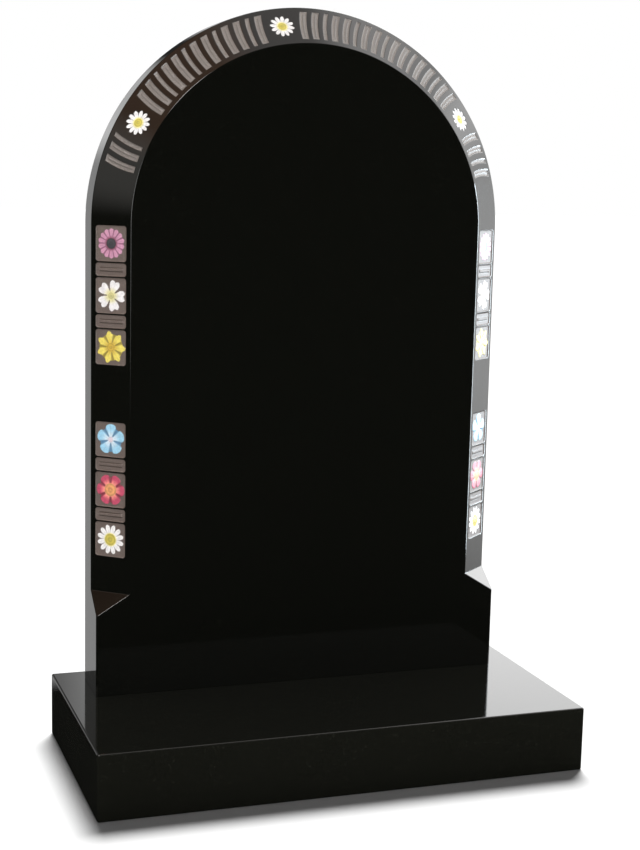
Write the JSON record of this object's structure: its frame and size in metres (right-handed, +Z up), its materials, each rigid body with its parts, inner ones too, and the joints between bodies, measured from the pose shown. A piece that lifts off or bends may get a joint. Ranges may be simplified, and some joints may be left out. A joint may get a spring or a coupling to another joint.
{
  "type": "headstone",
  "caption": "Upright polished granite headstone: round-topped tablet with a carved flower chamfer, standing on a rectangular base.",
  "frame": {"origin": "middle of the underside of the base", "axes": "+Z up; the tablet's carved face looks along -Y; +X runs along the base's width"},
  "size_m": [0.61, 0.305, 0.9283],
  "materials": {
    "tablet_granite": "polished black granite, the sunk carving left matt",
    "base_granite": "polished black granite"
  },
  "bodies": {
    "root": {"headstone": "tablet_granite", "base": "base_granite"}
  },
  "joints": []
}
